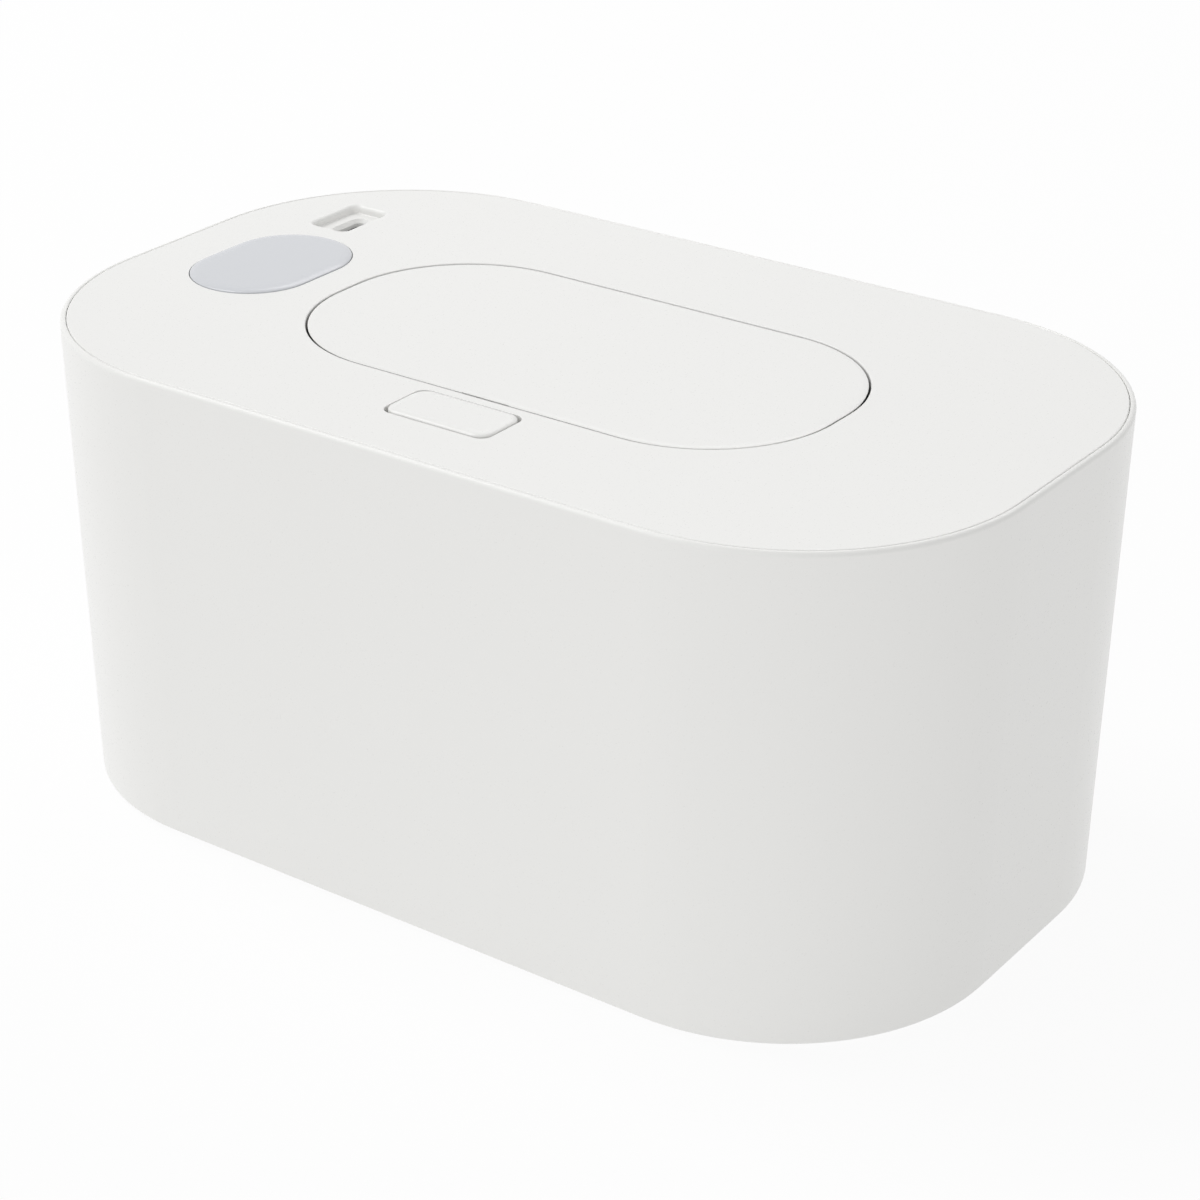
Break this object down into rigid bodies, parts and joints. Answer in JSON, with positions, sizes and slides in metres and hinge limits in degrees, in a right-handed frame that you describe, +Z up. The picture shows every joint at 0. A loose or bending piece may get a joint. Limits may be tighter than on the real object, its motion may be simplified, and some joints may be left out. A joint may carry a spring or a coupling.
{
  "type": "baby wipe warmer",
  "caption": "Rounded plastic tub that keeps a stack of baby wipes warm, with a lift-off cover, a pop-up flap opened by a push button, and a touch display.",
  "frame": {"origin": "centre of the tub's footprint, on the surface that the feet stand on", "axes": "+X along the tub towards the end without the display, -Y towards the push button, +Z up"},
  "size_m": [0.21, 0.126, 0.1003],
  "materials": {
    "shell_abs": "fine satin moulded ABS",
    "cover_abs": "fine satin moulded ABS",
    "flap_abs": "fine satin moulded ABS",
    "button_abs": "fine satin moulded ABS",
    "tank_pp": "satin moulded polypropylene",
    "inner_abs": "plain moulded ABS, as it leaves the tool",
    "window_panel": "glossy translucent touch panel",
    "silicone": "soft matte silicone",
    "foot_rubber": "matte rubber",
    "foam": "closed-cell foam",
    "steel": "bright zinc-plated steel",
    "warming_plate": "anodised sheet",
    "film": "polyimide film",
    "circuit_board": "solder resist",
    "black_parts": "moulded chip packages",
    "red_leads": "PVC sleeve",
    "black_leads": "PVC sleeve",
    "glue": "die-cut adhesive"
  },
  "bodies": {
    "base": {"outer_shell": "shell_abs", "base_plate": "shell_abs", "rubber_feet": "foot_rubber", "base_screws": "steel", "insulation_sleeve": "foam", "inner_tank": "tank_pp"},
    "cover": {"top_cover": "cover_abs", "cover_gasket": "silicone", "cover_base": "inner_abs", "cover_screws": "steel", "heater_plate": "warming_plate", "heating_film": "film", "heater_screws": "steel", "thermistor": "black_parts", "thermal_fuse": "film", "heater_leads": "red_leads", "sensor_leads": "black_leads", "main_board": "circuit_board", "board_components": "black_parts", "board_screws": "steel", "lead_connectors": "inner_abs", "usb_c_port": "steel", "led_display": "inner_abs", "touch_springs": "steel", "window_adhesive": "glue", "display_window": "window_panel", "dispensing_insert": "silicone", "hinge_pins": "steel", "hinge_spring": "steel", "button_springs": "steel", "latch_spring": "steel"},
    "flap": {"flip_lid": "flap_abs", "lid_seal": "silicone"},
    "button": {"release_button": "button_abs"},
    "latch": {"latch_slider": "inner_abs"}
  },
  "joints": [
    {"name": "cover_lift", "type": "slide", "parent": "base", "child": "cover", "axis": [0, 0, 1], "range_m": [0, 0.12]},
    {"name": "flap_hinge", "type": "hinge", "parent": "cover", "child": "flap", "pos_m": [0, 0.0347, 0.0952], "axis": [-1, 0, 0], "range_deg": [0, 100], "deforming": ["hinge_spring"]},
    {"name": "button_press", "type": "slide", "parent": "cover", "child": "button", "axis": [0, 0, -1], "range_m": [0, 0.0018], "stiffness_N_per_m": 300, "springref_m": -0.002, "deforming": ["button_springs"]},
    {"name": "latch_slide", "type": "slide", "parent": "cover", "child": "latch", "axis": [0, -1, 0], "range_m": [0, 0.0018], "stiffness_N_per_m": 150, "springref_m": -0.002, "deforming": ["latch_spring"]}
  ],
  "couplings": [
    {"joint": "latch_slide", "follows": "button_press", "ratio": 1}
  ]
}
